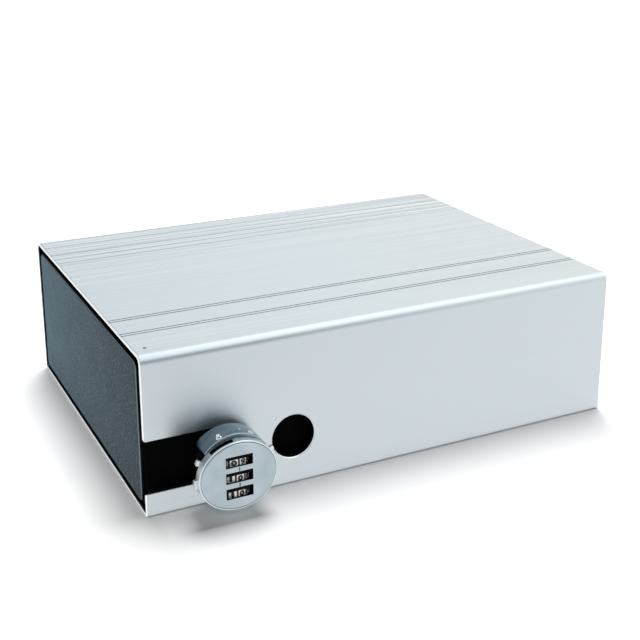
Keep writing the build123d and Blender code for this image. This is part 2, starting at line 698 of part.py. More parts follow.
def knob_reach(angle):
    """Distance from the knob's axis to its oval edge, at an angle from +X towards +Z."""
    t = math.radians(angle)
    across = KNOB_HALF_WIDTH * math.sin(t)
    along = KNOB_HALF_HEIGHT * math.cos(t)
    return KNOB_HALF_WIDTH * KNOB_HALF_HEIGHT / math.hypot(across, along)


def make_knob_ring():
    """Oval grip ring, with slots, index ribs, nubs and a tab round its side."""
    ring = prism_y(Ellipse(KNOB_HALF_WIDTH, KNOB_HALF_HEIGHT), RING_FRONT, RING_REAR)
    rims = [edge for edge in ring.edges() if edge.geom_type == GeomType.ELLIPSE]
    ring = chamfer(rims, RING_EDGE)
    front = RING_FRONT - OVER
    rear = RING_REAR + OVER
    core_size = (KNOB_HALF_WIDTH - RING_SLOT_DEPTH, KNOB_HALF_HEIGHT - RING_SLOT_DEPTH)
    core = prism_y(Ellipse(*core_size), front, rear)
    slot_front = RING_FRONT + RING_SLOT_MARGIN
    slot_rear = RING_REAR - RING_SLOT_MARGIN
    for start, end in RING_SLOTS:
        ring -= sector_y(2 * KNOB_HALF_WIDTH, start, end, slot_front, slot_rear) - core
    for angle in RIB_ANGLES:
        reach = knob_reach(angle)
        rib = block(reach - SUNK, reach + RIB_HEIGHT, slot_front, slot_rear, -RIB_WIDTH / 2, RIB_WIDTH / 2)
        ring += Rot(0, -angle, 0) * rib
    nub_rear = RING_REAR - SUNK
    for angle, width, height in NUBS:
        reach = knob_reach(angle)
        nub = block(reach - OVER, reach + height, nub_rear - NUB_DEPTH, nub_rear, -width / 2, width / 2)
        ring += Rot(0, -angle, 0) * fillet(nub.edges().filter_by(Axis.Y), NUB_RADIUS)
    return at_lock(ring - rod_y(CARRIER_RADIUS, front, rear))


def window_cuts(y0, y1):
    """Openings in front of the three number wheels."""
    half_w = WINDOW_WIDTH / 2
    half_h = WINDOW_HEIGHT / 2
    x = WINDOW_OFFSET[0]
    return [block(x - half_w, x + half_w, y0, y1, z - half_h, z + half_h) for z in WINDOW_Z]


def make_knob_face():
    """Oval plate with three windows and an index line between them."""
    plate = prism_y(Ellipse(FACE_HALF_WIDTH, FACE_HALF_HEIGHT), FACE_FRONT, RING_FRONT)
    plate = chamfer(plate.faces().sort_by(Axis.Y)[0].edges(), FACE_EDGE)
    face = plate + rod_y(CARRIER_RADIUS - CARRIER_GAP, RING_FRONT, FACE_REAR)
    face -= window_cuts(FACE_FRONT - OVER, FACE_REAR + OVER)
    front = face.faces().sort_by(Axis.Y)[0]
    face = chamfer(front.edges().filter_by(GeomType.LINE), WINDOW_EDGE)
    x, z_middle = WINDOW_OFFSET
    sides = (x - INDEX_WIDTH / 2, x + INDEX_WIDTH / 2)
    half = INDEX_HEIGHT / 2
    for z in (z_middle + WINDOW_PITCH / 2, z_middle - WINDOW_PITCH / 2):
        face -= block(*sides, FACE_FRONT - OVER, FACE_FRONT + INDEX_DEPTH, z - half, z + half)
    return at_lock(face)


def make_wheel_carrier():
    """Round block with a pocket for each number wheel and a bore for the axle."""
    carrier = rod_y(CARRIER_RADIUS, FACE_REAR + CARRIER_GAP, CARRIER_REAR)
    half = WHEEL_RADIUS + POCKET_SIDE_GAP
    reach = WHEEL_HEIGHT / 2 + POCKET_END_GAP
    floor = CARRIER_REAR - CARRIER_POCKET_FLOOR
    cuts = [block(-half, half, FACE_REAR - OVER, floor, z - reach, z + reach) for z in WHEEL_Z.values()]
    cuts.append(rod_z(AXLE_RADIUS + AXLE_FIT, AXLE_BOTTOM, CARRIER_RADIUS + OVER, 0, WHEEL_Y))
    fence_y = (FENCE_Y[0] - FENCE_GAP, FENCE_Y[1] + FENCE_GAP)
    fence_half = FENCE_HALF_HEIGHT + FENCE_GAP
    cuts.append(block(-CARRIER_RADIUS - OVER, FENCE_X[1] + FENCE_GAP, *fence_y, -fence_half, fence_half))
    cuts.append(rod_y(CENTRE_DRILL_RADIUS, CARRIER_REAR - CENTRE_DRILL_DEPTH, CARRIER_REAR + OVER))
    return at_lock(carrier - cuts)


def make_wheel_axle():
    return at_lock(rod_z(AXLE_RADIUS, AXLE_BOTTOM, AXLE_TOP, 0, WHEEL_Y))


def make_detent_springs():
    """Leaf springs in the pockets beside the wheels."""
    right = -WHEEL_RADIUS - DETENT_GAP
    left = right - DETENT_THICKNESS
    near, far = DETENT_REACH
    half = DETENT_WIDTH / 2
    reach = (WHEEL_Y + near, WHEEL_Y + far)
    leaves = [block(left, right, *reach, z - half, z + half) for z in WHEEL_Z.values()]
    return Compound(children=[at_lock(leaf) for leaf in leaves])


def make_fence_bar():
    """Bar that slides towards the collar's track as the lock closes."""
    half = FENCE_HALF_HEIGHT
    bar = block(*FENCE_X, *FENCE_Y, -half, half)
    return at_lock(fillet(bar.edges().filter_by(Axis.Y), FENCE_CORNER))


def make_spindle():
    """Shaft from the carrier to the cam, with a clip groove and a square end."""
    shaft = rod_y(SPINDLE_DIAMETER / 2, CARRIER_REAR + SPINDLE_FRONT_GAP, CAM_Y[0])
    shaft -= rod_y(SPINDLE_DIAMETER, *CLIP_Y) - rod_y(CLIP_GROOVE_RADIUS, *CLIP_Y)
    half = SPINDLE_SQUARE / 2
    shaft += block(-half, half, CAM_Y[0] - SUNK, SPINDLE_END, -half, half)
    hole = rod_y(CAM_SCREW_RADIUS, SPINDLE_END - CAM_SCREW_HOLE_DEPTH, SPINDLE_END + OVER)
    return at_lock(shaft - hole)


def make_spindle_clip():
    """Open retaining ring in the spindle's groove."""
    front, rear = CLIP_Y
    ring = rod_y(CLIP_RADIUS, front + CLIP_SIDE_GAP, rear - CLIP_SIDE_GAP)
    ring -= rod_y(CLIP_BORE, front - OVER, rear + OVER)
    half = CLIP_MOUTH / 2
    return at_lock(ring - block(-half, half, front - OVER, rear + OVER, 0, CLIP_RADIUS + OVER))


def make_cam():
    """Flat cam, shown at rest pointing to the right; it turns down to lock."""
    half = CAM_WIDTH / 2
    arm = block(0, CAM_LENGTH, *CAM_Y, -half, half)
    tip = arm.edges().filter_by(Axis.Y).sort_by(Axis.X)[-2:]
    arm = fillet(tip, CAM_CORNER)
    side = SPINDLE_SQUARE / 2
    hole = block(-side, side, CAM_Y[0] - OVER, CAM_Y[1] + OVER, -side, side)
    return at_lock(rod_y(CAM_HUB_RADIUS, *CAM_Y) + arm - hole)


def make_cam_screw():
    """Screw with its washer, which holds the cam on the spindle."""
    seat = CAM_Y[1]
    washer_radius, washer_height = CAM_WASHER
    head_radius, head_height = CAM_SCREW_HEAD
    washer_rear = seat + washer_height
    head_rear = washer_rear + head_height
    screw = rod_y(CAM_SCREW_RADIUS, seat - CAM_SCREW_LENGTH, seat)
    screw += rod_y(washer_radius, seat, washer_rear)
    screw += rod_y(head_radius, washer_rear, head_rear)
    length, width, depth = CAM_SCREW_CROSS
    bar = block(-length / 2, length / 2, head_rear - depth, head_rear + OVER, -width / 2, width / 2)
    return at_lock(screw - bar - Rot(0, 90, 0) * bar)


# Number wheels

def make_number_wheel(name):
    """Ten-sided wheel with a groove between its flats, which carry the digits."""
    wheel = extrude(RegularPolygon(WHEEL_RADIUS, WHEEL_SIDES), WHEEL_HEIGHT / 2, both=True)
    half = BAR_WIDTH / 2
    end = WHEEL_HEIGHT / 2 + OVER
    bar = block(WHEEL_RADIUS - BAR_DEPTH, WHEEL_RADIUS + OVER, -half, half, -end, end)
    bars = [Rot(0, 0, 360 / WHEEL_SIDES * side) * bar for side in range(WHEEL_SIDES)]
    wheel = wheel - bars - rod_z(AXLE_RADIUS + FIT, -end, end)
    return at_lock(Pos(0, WHEEL_Y, WHEEL_Z[name]) * Rot(0, 0, REST_TURN[name]) * wheel)


def make_parts():
    """Every sub-part, by its node's name."""
    parts = {
        "outer_sleeve": make_outer_sleeve(),
        "end_cap": make_end_cap(),
        "end_cap_screws": make_end_cap_screws(),
        "keeper": make_keeper(),
        "keeper_rivets": make_keeper_rivets(),
        "front_glide": make_glide(FRONT + GLIDE_INSET),
        "back_glide": make_glide(BACK - GLIDE_INSET),
        "stop_pin": make_stop_pin(),
        "drawer_bumpers": make_drawer_bumpers(),
        "drawer_tray": make_drawer_tray(),
        "drawer_panel": make_drawer_panel(),
        "panel_nuts": make_panel_nuts(),
        "stop_lug": make_stop_lug(),
        "stop_lug_rivets": make_stop_lug_rivets(),
        "foam_liner": make_foam_liner(),
        "lock_housing": make_lock_housing(),
        "backing_plate": make_backing_plate(),
        "backing_rivets": make_backing_rivets(),
        "lock_washer": make_lock_washer(),
        "lock_nut": make_lock_nut(),
        "lock_cover": make_lock_cover(),
        "lock_cover_screws": make_lock_cover_screws(),
        "knob_ring": make_knob_ring(),
        "knob_face": make_knob_face(),
        "wheel_carrier": make_wheel_carrier(),
        "wheel_axle": make_wheel_axle(),
        "detent_springs": make_detent_springs(),
        "fence_bar": make_fence_bar(),
        "spindle": make_spindle(),
        "spindle_clip": make_spindle_clip(),
        "cam": make_cam(),
        "cam_screw": make_cam_screw(),
    }
    for name in WHEEL_Z:
        parts["number_wheel_" + name] = make_number_wheel(name)
    return parts


def main():
    os.makedirs("parts", exist_ok=True)
    for name, shape in make_parts().items():
        export_step(shape, "parts/" + name + ".step")
        solids = shape.solids()
        print(name, "solids", len(solids), "volume", round(sum(solid.volume for solid in solids), 1))


main()
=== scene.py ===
import bmesh
import bpy
import json
import math
import numpy as np
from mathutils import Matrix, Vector


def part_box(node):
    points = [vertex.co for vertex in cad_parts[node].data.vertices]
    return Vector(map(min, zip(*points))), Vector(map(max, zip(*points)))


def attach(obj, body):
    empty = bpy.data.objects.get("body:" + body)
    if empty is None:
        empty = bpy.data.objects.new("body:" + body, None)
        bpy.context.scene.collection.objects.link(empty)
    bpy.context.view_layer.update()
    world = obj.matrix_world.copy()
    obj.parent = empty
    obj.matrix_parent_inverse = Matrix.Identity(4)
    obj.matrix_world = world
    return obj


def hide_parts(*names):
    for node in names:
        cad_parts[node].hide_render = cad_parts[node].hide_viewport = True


# Portable combination safe, in metres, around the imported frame

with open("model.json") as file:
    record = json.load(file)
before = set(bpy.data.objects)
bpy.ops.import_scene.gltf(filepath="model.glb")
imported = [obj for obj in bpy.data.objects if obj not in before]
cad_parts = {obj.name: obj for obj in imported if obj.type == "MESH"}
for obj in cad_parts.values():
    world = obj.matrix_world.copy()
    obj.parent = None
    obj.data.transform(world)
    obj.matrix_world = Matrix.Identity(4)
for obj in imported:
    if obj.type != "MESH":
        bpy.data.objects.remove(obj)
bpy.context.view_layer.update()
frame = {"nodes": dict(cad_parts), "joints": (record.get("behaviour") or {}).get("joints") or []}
mm = 0.001
nodes = frame["nodes"]
joints = {joint["name"]: joint for joint in frame["joints"]}
sleeveLow, sleeveHigh = [np.array(corner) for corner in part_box("outer_sleeve")]
print("frame loaded:", len(nodes), "nodes")


def linearColour(hexText):
    # sRGB hex to linear: the standard curve on each channel
    values = np.array([int(hexText[k:k + 2], 16) for k in (1, 3, 5)]) / 255
    linear = np.where(values <= 0.04045, values / 12.92, ((values + 0.055) / 1.055) ** 2.4)
    return (*linear.tolist(), 1.0)


def fillInputs(tree, node, inputs):
    # each input, by name or in order, takes a number, a hex colour, an output, or a node's first output
    for name, value in inputs.items() if isinstance(inputs, dict) else enumerate(inputs):
        if isinstance(value, bpy.types.Node):
            value = value.outputs[0]
        if isinstance(value, bpy.types.NodeSocket):
            tree.links.new(value, node.inputs[name])
        else:
            node.inputs[name].default_value = linearColour(value) if isinstance(value, str) else value


def addNode(tree, kind, settings=None, inputs=()):
    # a node with its settings and inputs; "stops" are the (position, hex colour) pairs of a colour ramp
    node = tree.nodes.new("ShaderNode" + kind)
    for name, value in (settings or {}).items():
        if name != "stops":
            setattr(node, name, value)
            continue
        elements = node.color_ramp.elements
        while len(elements) < len(value):
            elements.new(0.5)  # moved to its own position below
        for element, (position, hexText) in zip(elements, value):
            element.position = position
            element.color = linearColour(hexText)
    fillInputs(tree, node, inputs)
    return node


def startMaterial(name, values):
    # a material with its shader; values fill the shader's plain sockets. Place is the Object coordinate
    material = bpy.data.materials.new(name)
    material.use_nodes = True
    tree = material.node_tree
    tree.nodes.clear()
    shader = addNode(tree, "BsdfPrincipled", None, values)
    addNode(tree, "OutputMaterial", None, {"Surface": shader})
    place = addNode(tree, "TexCoord").outputs["Object"]
    return material, tree, shader, place


# Settings that the nodes share

multiply = {"operation": "MULTIPLY"}
subtract = {"operation": "SUBTRACT"}
plus = {"operation": "ADD"}
larger = {"operation": "MAXIMUM"}
absolute = {"operation": "ABSOLUTE"}
length = {"operation": "LENGTH"}
numberMix = {"data_type": "FLOAT"}
colourMix = {"data_type": "RGBA"}
noiseSpan = (0.3, 0.7)  # where most of a noise's values lie
noiseMiddle = 0.5


# Materials. A span is the low and high end of a value, then what it is turned to at each end

sleeveFinish = {
    "dark": "#B2BEC6", "middle": "#D2DADF", "light": "#EDF0F2", "streakStops": (0.4, 0.5, 0.6),
    "roughness": (0.37, 0.4), "anisotropy": 0.6,
    "bandWidth": 2.6 * mm, "hairWidth": 0.5 * mm, "hairShare": 0.78, "streakLength": 260 * mm,
    "streakDetail": 3.0, "streakGrain": 0.6, "streakHeight": 0.006 * mm, "streakBump": 0.3,
    "backSpan": (0.0, 65 * mm, 0.17, 1.0), "topSpan": (73 * mm, 75.8 * mm, 0.2, 1.0),
    # the groove colour, the grey line and the inside colour are painted shade; the rim colour is a painted
    # highlight
    "groove": "#8C989F", "grooveShare": 0.7, "sinkSpan": (0.05 * mm, 0.15 * mm),
    "grooveEnd": (86 * mm, 85 * mm),
    "rim": "#FBFCFD", "rimSpan": (0.44 * mm, 0.32 * mm),
    "line": "#8D9AA2", "lineSpan": (0.8 * mm, 0.68 * mm), "lineHeight": (74 * mm, 75.5 * mm, 0.0, 0.7),
    "port": (-53.8 * mm, 23.6 * mm), "portSpan": (11.05 * mm, 10.93 * mm),
    "inside": "#17191B", "insideRoughness": 0.7, "cornerRadius": 4.0 * mm,
    "skinSpan": (0.55 * mm, 0.66 * mm), "endMargin": 0.4 * mm, "endBlur": 0.1 * mm,
}


def satinAnodisedAluminium():
    # extruded, brushed lengthwise and clear anodised: pale cool metal, with long fine streaks that grow
    # stronger towards the back of the top, painted shade in the grooves, and highlights that spread across
    # the brushing. The left end and the port have a painted highlight along the cut edge, and a thin grey
    # line of painted shade follows the end on the top. The port's highlight goes by X and Z alone, so the
    # back wall shows it too, as a pale disc. The bore and what lies behind the skin are coloured near-black
    # as painted shade. Hairlines are drawn wider than real ones, to show
    f = sleeveFinish
    material, tree, shader, place = startMaterial("satinAnodisedAluminium", {
        "Base Color": f["middle"], "Metallic": 1.0, "Roughness": f["roughness"][0],
        "Anisotropic": f["anisotropy"], "Anisotropic Rotation": 0.25})  # turned across the brushing
    x, y, z = addNode(tree, "SeparateXYZ", None, [place]).outputs
    streaks = []
    for width in (f["bandWidth"], f["hairWidth"]):
        drawn = addNode(tree, "Mapping", None, {
            "Vector": place, "Scale": (1 / f["streakLength"], 1 / width, 1 / width)})
        streaks.append(addNode(tree, "TexNoise", None, {
            "Vector": drawn, "Scale": 1.0, "Detail": f["streakDetail"], "Roughness": f["streakGrain"]}))
    bands, hairs = streaks
    both = addNode(tree, "Mix", numberMix, {"Factor": f["hairShare"], 2: bands, 3: hairs})
    towardsBack = addNode(tree, "MapRange", None, [y, *f["backSpan"]])
    onTop = addNode(tree, "MapRange", None, [z, *f["topSpan"]])
    strength = addNode(tree, "Math", multiply, [towardsBack, onTop])
    offMiddle = addNode(tree, "Math", subtract, [both, noiseMiddle])
    weakened = addNode(tree, "Math", multiply, [offMiddle, strength])
    streaked = addNode(tree, "ValToRGB", {
        "stops": [*zip(f["streakStops"], (f["dark"], f["middle"], f["light"]))]}, [
        addNode(tree, "Math", plus, [weakened, noiseMiddle])])

    # painted shade: the sunk grooves are coloured darker
    sink = addNode(tree, "Math", subtract, [float(sleeveHigh[2]), z])
    sunk = addNode(tree, "MapRange", None, [sink, *f["sinkSpan"]])
    between = addNode(tree, "MapRange", None, [addNode(tree, "Math", absolute, [y]), *f["grooveEnd"]])
    sunkBetween = addNode(tree, "Math", multiply, [sunk, between])
    inGrooveShade = addNode(tree, "Math", multiply, [sunkBetween, f["grooveShare"]])
    grooveShaded = addNode(tree, "Mix", colourMix, {"Factor": inGrooveShade, 6: streaked, 7: f["groove"]}).outputs[2]

    fromLeft = addNode(tree, "Math", subtract, [x, float(sleeveLow[0])])
    # painted shade: a thin grey line along the left end, near the top
    onShadeLine = addNode(tree, "Math", multiply, [
        addNode(tree, "MapRange", None, [fromLeft, *f["lineSpan"]]),
        addNode(tree, "MapRange", None, [z, *f["lineHeight"]])])
    shadeLined = addNode(tree, "Mix", colourMix, {"Factor": onShadeLine, 6: grooveShaded, 7: f["line"]}).outputs[2]
    # painted highlight: a bright band on the left end's cut edge and round the port
    toPort = addNode(tree, "VectorMath", subtract, [place, (f["port"][0], 0.0, f["port"][1])])
    fromPort = addNode(tree, "VectorMath", length, [
        addNode(tree, "VectorMath", multiply, [toPort, (1.0, 0.0, 1.0)])]).outputs["Value"]
    onRimHighlight = addNode(tree, "Math", larger, [
        addNode(tree, "MapRange", None, [fromLeft, *f["rimSpan"]]),
        addNode(tree, "MapRange", None, [fromPort, *f["portSpan"]])])
    rimHighlighted = addNode(tree, "Mix", colourMix, {"Factor": onRimHighlight, 6: shadeLined, 7: f["rim"]}).outputs[2]

    # depth under the rounded outer skin: the corner radius less the distance past the straight part
    middle = (sleeveLow + sleeveHigh) / 2
    straight = (sleeveHigh - sleeveLow) / 2 - f["cornerRadius"]
    fromMiddle = addNode(tree, "VectorMath", subtract, [place, tuple(middle)])
    crosswise = addNode(tree, "VectorMath", absolute, [
        addNode(tree, "VectorMath", multiply, [fromMiddle, (0.0, 1.0, 1.0)])])
    past = addNode(tree, "VectorMath", larger, [
        addNode(tree, "VectorMath", subtract, [crosswise, tuple(straight)])])
    depth = addNode(tree, "Math", subtract, [
        f["cornerRadius"], addNode(tree, "VectorMath", length, [past]).outputs["Value"]])
    fromEnd = addNode(tree, "Math", subtract, [
        float(sleeveHigh[0]) - f["endMargin"], addNode(tree, "Math", absolute, [x])])
    # painted shade: the bore and the inside of the walls are coloured near-black
    inside = addNode(tree, "Math", multiply, [
        addNode(tree, "MapRange", None, [depth, *f["skinSpan"]]),
        addNode(tree, "MapRange", None, [fromEnd, 0.0, f["endBlur"]])])
    coloured = addNode(tree, "Mix", colourMix, {"Factor": inside, 6: rimHighlighted, 7: f["inside"]}).outputs[2]
    gloss = addNode(tree, "MapRange", None, [bands, *noiseSpan, *f["roughness"]])
    fillInputs(tree, shader, {
        "Base Color": coloured,
        "Roughness": addNode(tree, "Mix", numberMix, {"Factor": inside, 2: gloss, 3: f["insideRoughness"]}),
        "Normal": addNode(tree, "Bump", None, {
            "Height": addNode(tree, "Math", multiply, [both, strength]), "Strength": f["streakBump"],
            "Distance": f["streakHeight"]}),
        "Tangent": addNode(tree, "CombineXYZ", None, [1.0])})
    return material


panelFinish = {
    "dark": "#385867", "light": "#50707F", "mottleStops": (0.35, 0.65), "mottleSize": 18 * mm,
    "mottleShare": 0.45, "roughness": 0.55, "ior": 1.48, "glossLevel": 0.13, "gloss": "#8CB8D4",
    # the shade colour darkens the front as painted shade; the bevel colour is a painted highlight; back is
    # the painted shade of the gaps round the panel
    "shade": "#081219", "shadeShare": 0.9,
    "speck": "#7FA0B2", "speckSize": 0.6 * mm, "speckSpan": (0.55, 0.66, 0.0, 0.4),
    "peelSize": 0.96 * mm, "peelGrain": 0.6, "peelHeight": 0.06 * mm, "peelBump": 0.5,
    "bevel": "#8C9CA5", "bevelSpan": (0.02 * mm, 0.08 * mm, 0.0, 0.8),
    "back": "#08090A", "backSpan": (0.46 * mm, 0.54 * mm),
}


def slatePowderCoat(name, faceX, towards):
    # baked textured polyester powder on sheet: dull blue-grey with fine pale specks, with painted shade
    # darkening it towards the front, a painted highlight along the bevel, and the edges behind it coloured
    # near-black as the painted shade of the gaps round the panel. Specks are drawn coarser than real grit, to
    # show. The sheet's outer face is at faceX; the sheet lies to the right of it where towards is 1, and to
    # the left where it is -1
    f = panelFinish
    material, tree, shader, place = startMaterial(name, {
        "Base Color": f["dark"], "Roughness": f["roughness"], "IOR": f["ior"],
        "Specular IOR Level": f["glossLevel"], "Specular Tint": f["gloss"]})
    x, y = addNode(tree, "SeparateXYZ", None, [place]).outputs[:2]
    mottle = addNode(tree, "TexNoise", None, {"Vector": place, "Scale": 1 / f["mottleSize"]})
    peel = addNode(tree, "TexNoise", None, {
        "Vector": place, "Scale": 1 / f["peelSize"], "Roughness": f["peelGrain"]})
    specks = addNode(tree, "TexNoise", None, {"Vector": place, "Scale": 1 / f["speckSize"], "Detail": 1.0})
    mottled = addNode(tree, "ValToRGB", {"stops": [*zip(f["mottleStops"], (f["dark"], f["light"]))]}, [
        addNode(tree, "Mix", numberMix, {"Factor": f["mottleShare"], 2: peel, 3: mottle})])
    # painted shade: the coat darkens towards the front
    shadeTowardsFront = addNode(tree, "MapRange", None, [
        y, float(sleeveHigh[1]), float(sleeveLow[1]), 0.0, f["shadeShare"]])
    shadedGround = addNode(tree, "Mix", colourMix, {"Factor": shadeTowardsFront, 6: mottled, 7: f["shade"]}).outputs[2]
    onSpeck = addNode(tree, "MapRange", None, [specks, *f["speckSpan"]])
    speckled = addNode(tree, "Mix", colourMix, {"Factor": onSpeck, 6: shadedGround, 7: f["speck"]}).outputs[2]
    behind = addNode(tree, "Math", multiply, [addNode(tree, "Math", subtract, [x, faceX]), towards])
    # painted highlight: a pale band along the bevel
    onBevelHighlight = addNode(tree, "MapRange", None, [behind, *f["bevelSpan"]])
    bevelHighlighted = addNode(tree, "Mix", colourMix, {"Factor": onBevelHighlight, 6: speckled, 7: f["bevel"]}).outputs[2]
    # painted shade: the edges behind the bevel are coloured near-black, for the gaps round the panel
    onEdgeShade = addNode(tree, "MapRange", None, [behind, *f["backSpan"]])
    coloured = addNode(tree, "Mix", colourMix, {"Factor": onEdgeShade, 6: bevelHighlighted, 7: f["back"]}).outputs[2]
    fillInputs(tree, shader, {
        "Base Color": coloured,
        "Normal": addNode(tree, "Bump", None, {
            "Height": peel, "Strength": f["peelBump"], "Distance": f["peelHeight"]})})
    return material


trayFinish = {
    "colours": ("#030304", "#08090A"), "stops": (0.35, 0.7), "roughness": 0.9, "glossLevel": 0.05,
    "gritSize": 0.5 * mm, "gritGrain": 0.6, "gritHeight": 0.03 * mm, "gritBump": 0.4,
}


def mattBlackPaint():
    # matt black powder coat, darker than real paint so that openings read black: black paint and painted
    # shade in one
    f = trayFinish
    material, tree, shader, place = startMaterial("mattBlackPaint", {
        "Base Color": f["colours"][0], "Roughness": f["roughness"], "Specular IOR Level": f["glossLevel"]})
    grit = addNode(tree, "TexNoise", None, {
        "Vector": place, "Scale": 1 / f["gritSize"], "Roughness": f["gritGrain"]})
    fillInputs(tree, shader, {
        "Base Color": addNode(tree, "ValToRGB", {"stops": [*zip(f["stops"], f["colours"])]}, [grit]),
        "Normal": addNode(tree, "Bump", None, {
            "Height": grit, "Strength": f["gritBump"], "Distance": f["gritHeight"]})})
    return material


plateGrain = {"size": 0.3 * mm, "detail": 1.0, "height": 0.004 * mm, "bump": 0.3}


def plating(name, colours, roughness, ripple=1.6 * mm):
    # bright metal coat over a casting or steel: faint ripple, with a slow change of tint and gloss
    material, tree, shader, place = startMaterial(name, {
        "Base Color": colours[1], "Metallic": 1.0, "Roughness": roughness[0]})
    slow = addNode(tree, "TexNoise", None, {"Vector": place, "Scale": 1 / ripple})
    grain = addNode(tree, "TexNoise", None, {
        "Vector": place, "Scale": 1 / plateGrain["size"], "Detail": plateGrain["detail"]})
    fillInputs(tree, shader, {
        "Base Color": addNode(tree, "ValToRGB", {"stops": [*zip(noiseSpan, colours)]}, [slow]),
        "Roughness": addNode(tree, "MapRange", None, [slow, *noiseSpan, *roughness]),
        "Normal": addNode(tree, "Bump", None, {
            "Height": grain, "Strength": plateGrain["bump"], "Distance": plateGrain["height"]})})
    return material


ringFinish = {
    "colours": ("#D0D9DD", "#DEE5E8"), "roughness": (0.28, 0.34), "ripple": 4 * mm,
    "halves": (18.4 * mm, 16.3 * mm), "faceSpan": (0.966, 0.962), "rear": 0.2 * mm,
}
faceFinish = {
    "colours": ("#A7B5BD", "#B9C5CB"), "roughness": (0.32, 0.36), "ripple": 9 * mm,
    "halves": (17.6 * mm, 15.4 * mm), "innerSpan": (0.94, 0.93), "sink": 0.06 * mm,
}
knobFillAndShade = {"dark": "#0A0B0C", "roughness": 0.7}


def ovalReach(tree, place, halves):
    # distance from the knob's axis, as a share of an oval with these half widths
    axis = joints["knob_turn"]["pos_m"]
    wide, tall = halves
    oval = addNode(tree, "Mapping", None, {
        "Vector": place, "Scale": (1 / wide, 0.0, 1 / tall),
        "Location": (-axis[0] / wide, 0.0, -axis[2] / tall)})
    return addNode(tree, "VectorMath", length, [oval]).outputs["Value"]


def filledChrome(name, f, findDark):
    # satin chrome with a slow change of tint and gloss, and matt black where findDark gives 1: a black fill
    # in engraved marks, painted shade in slots, gaps and windows
    material, tree, shader, place = startMaterial(name, {
        "Base Color": f["colours"][1], "Metallic": 1.0, "Roughness": f["roughness"][0]})
    dark = findDark(tree, place)
    slow = addNode(tree, "TexNoise", None, {"Vector": place, "Scale": 1 / f["ripple"]})
    metal = addNode(tree, "ValToRGB", {"stops": [*zip(noiseSpan, f["colours"])]}, [slow])
    coloured = addNode(tree, "Mix", colourMix, {"Factor": dark, 6: metal, 7: knobFillAndShade["dark"]}).outputs[2]
    gloss = addNode(tree, "MapRange", None, [slow, *noiseSpan, *f["roughness"]])
    fillInputs(tree, shader, {
        "Base Color": coloured,
        "Roughness": addNode(tree, "Mix", numberMix, {"Factor": dark, 2: gloss, 3: knobFillAndShade["roughness"]})})
    return material


def ringDark(tree, place):
    # painted shade: the ring's grip slots, the line round the face and the ring's rear are coloured black
    f = ringFinish
    rear = float(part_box("knob_ring")[1][1])
    y = addNode(tree, "SeparateXYZ", None, [place]).outputs["Y"]
    within = addNode(tree, "MapRange", None, [ovalReach(tree, place, f["halves"]), *f["faceSpan"]])
    # painted shade on the ring's rear
    behind = addNode(tree, "MapRange", None, [y, rear - f["rear"], rear - f["rear"] / 2])
    return addNode(tree, "Math", larger, [within, behind])


def faceDark(tree, place):
    # the face's index lines are filled black, and the edges of its windows are coloured black as painted
    # shade
    f = faceFinish
    front = float(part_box("knob_face")[0][1])
    y = addNode(tree, "SeparateXYZ", None, [place]).outputs["Y"]
    sunk = addNode(tree, "MapRange", None, [y, front + f["sink"], front + 2 * f["sink"]])
    within = addNode(tree, "MapRange", None, [ovalReach(tree, place, f["halves"]), *f["innerSpan"]])
    return addNode(tree, "Math", multiply, [sunk, within])


foamFinish = {
    "colours": ("#17181A", "#303337"), "stops": (0.1, 0.6), "roughness": 0.95, "glossLevel": 0.2,
    "cellSize": 0.9 * mm, "cellDepth": 0.18 * mm, "cellBump": 0.8,
}


def closedCellFoam():
    # cut polyethylene foam: dull charcoal with small open cells
    f = foamFinish
    material, tree, shader, place = startMaterial("closedCellFoam", {
        "Base Color": f["colours"][0], "Roughness": f["roughness"], "Specular IOR Level": f["glossLevel"]})
    cells = addNode(tree, "TexVoronoi", None, {"Vector": place, "Scale": 1 / f["cellSize"]})
    fillInputs(tree, shader, {
        "Base Color": addNode(tree, "ValToRGB", {"stops": [*zip(f["stops"], f["colours"])]}, [cells]),
        "Normal": addNode(tree, "Bump", None, {
            "Height": cells, "Strength": f["cellBump"], "Distance": f["cellDepth"]})})
    return material


mouldGrain = {"size": 0.3 * mm, "height": 0.02 * mm, "bump": 0.2, "ior": 1.49}


def mouldedPolymer(name, dark, light, roughness):
    # moulded rubber, acetal or filled enamel: even colour with a faint mould grain
    material, tree, shader, place = startMaterial(name, {
        "Base Color": dark, "Roughness": roughness, "IOR": mouldGrain["ior"]})
    grain = addNode(tree, "TexNoise", None, {"Vector": place, "Scale": 1 / mouldGrain["size"]})
    fillInputs(tree, shader, {
        "Base Color": addNode(tree, "ValToRGB", {"stops": [*zip(noiseSpan, (dark, light))]}, [grain]),
        "Normal": addNode(tree, "Bump", None, {
            "Height": grain, "Strength": mouldGrain["bump"], "Distance": mouldGrain["height"]})})
    return material


